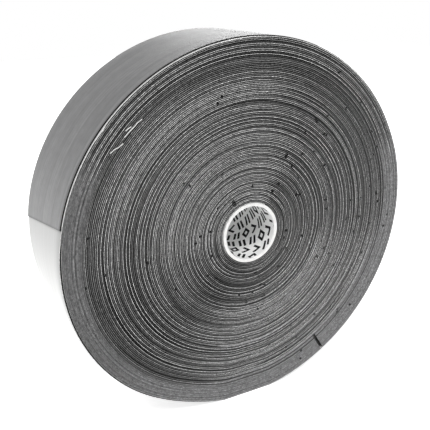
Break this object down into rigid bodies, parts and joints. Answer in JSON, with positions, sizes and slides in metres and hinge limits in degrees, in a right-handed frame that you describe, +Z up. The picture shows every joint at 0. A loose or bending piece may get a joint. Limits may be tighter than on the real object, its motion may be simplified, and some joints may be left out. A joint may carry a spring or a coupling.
{
  "type": "sports tape roll",
  "caption": "Bulk roll of dark elastic sports tape with a paper release liner, wound on a small paper core, with a free end that peels off.",
  "frame": {"origin": "on the surface that the roll stands on, under the middle of its box, halfway through its width", "axes": "+Y runs along the roll's axis from its front side to its back side, +Z is up, and +X is to the right as the front side shows it"},
  "size_m": [0.175, 0.0504, 0.1717],
  "materials": {
    "tape_fabric": "matte",
    "release_liner": "satin",
    "core_paper": "satin",
    "core_board": "matte",
    "start_strip": "gloss"
  },
  "bodies": {
    "roll": {"core_printed_ply": "core_paper", "core_board_ply": "core_board", "core_outer_ply": "core_paper", "start_strip": "start_strip", "liner_turns_01": "release_liner", "fabric_turns_01": "tape_fabric", "liner_turns_02": "release_liner", "fabric_turns_02": "tape_fabric", "liner_turns_03": "release_liner", "fabric_turns_03": "tape_fabric", "liner_turns_04": "release_liner", "fabric_turns_04": "tape_fabric", "liner_turns_05": "release_liner", "fabric_turns_05": "tape_fabric", "liner_turns_06": "release_liner", "fabric_turns_06": "tape_fabric", "liner_turns_07": "release_liner", "fabric_turns_07": "tape_fabric", "liner_turns_08": "release_liner", "fabric_turns_08": "tape_fabric", "last_turn_liner": "release_liner", "last_turn_fabric": "tape_fabric"},
    "fabric_flap_1": {"tail_fabric_1": "tape_fabric"},
    "fabric_flap_2": {"tail_fabric_2": "tape_fabric"},
    "fabric_flap_3": {"tail_fabric_3": "tape_fabric"},
    "liner_flap_1": {"tail_liner_1": "release_liner"},
    "liner_flap_2": {"tail_liner_2": "release_liner"},
    "liner_flap_3": {"tail_liner_3": "release_liner"},
    "leader_1": {"liner_leader_1": "release_liner"},
    "leader_2": {"liner_leader_2": "release_liner"},
    "leader_3": {"liner_leader_3": "release_liner"}
  },
  "joints": [
    {"name": "tail_peel", "type": "hinge", "parent": "roll", "child": "fabric_flap_1", "pos_m": [-0.05215, 0, 0.15424], "axis": [0, 1, 0], "range_deg": [0, 75]},
    {"name": "tail_curl_2", "type": "hinge", "parent": "fabric_flap_1", "child": "fabric_flap_2", "pos_m": [-0.06856, 0, 0.13865], "axis": [0, 1, 0], "range_deg": [0, 27]},
    {"name": "tail_curl_3", "type": "hinge", "parent": "fabric_flap_2", "child": "fabric_flap_3", "pos_m": [-0.08056, 0, 0.11931], "axis": [0, 1, 0], "range_deg": [0, 27]},
    {"name": "liner_lift", "type": "hinge", "parent": "roll", "child": "liner_flap_1", "pos_m": [-0.05167, 0, 0.15361], "axis": [0, 1, 0], "range_deg": [0, 38]},
    {"name": "liner_curl_2", "type": "hinge", "parent": "liner_flap_1", "child": "liner_flap_2", "pos_m": [-0.06794, 0, 0.13816], "axis": [0, 1, 0], "range_deg": [0, 15]},
    {"name": "liner_curl_3", "type": "hinge", "parent": "liner_flap_2", "child": "liner_flap_3", "pos_m": [-0.07982, 0, 0.119], "axis": [0, 1, 0], "range_deg": [0, 15]},
    {"name": "leader_curl_1", "type": "hinge", "parent": "liner_flap_3", "child": "leader_1", "pos_m": [-0.08639, 0, 0.09728], "axis": [0, 1, 0], "range_deg": [0, 15]},
    {"name": "leader_curl_2", "type": "hinge", "parent": "leader_1", "child": "leader_2", "pos_m": [-0.0855, 0, 0.06544], "axis": [0, 1, 0], "range_deg": [0, 15]},
    {"name": "leader_curl_3", "type": "hinge", "parent": "leader_2", "child": "leader_3", "pos_m": [-0.07282, 0, 0.0361], "axis": [0, 1, 0], "range_deg": [0, 15]}
  ],
  "couplings": [
    {"joint": "tail_curl_2", "follows": "tail_peel", "ratio": 0.35},
    {"joint": "tail_curl_3", "follows": "tail_peel", "ratio": 0.35},
    {"joint": "liner_lift", "follows": "tail_peel", "ratio": 0.5},
    {"joint": "liner_curl_2", "follows": "tail_peel", "ratio": 0.2},
    {"joint": "liner_curl_3", "follows": "tail_peel", "ratio": 0.2},
    {"joint": "leader_curl_1", "follows": "tail_peel", "ratio": 0.2},
    {"joint": "leader_curl_2", "follows": "tail_peel", "ratio": 0.2},
    {"joint": "leader_curl_3", "follows": "tail_peel", "ratio": 0.2}
  ]
}
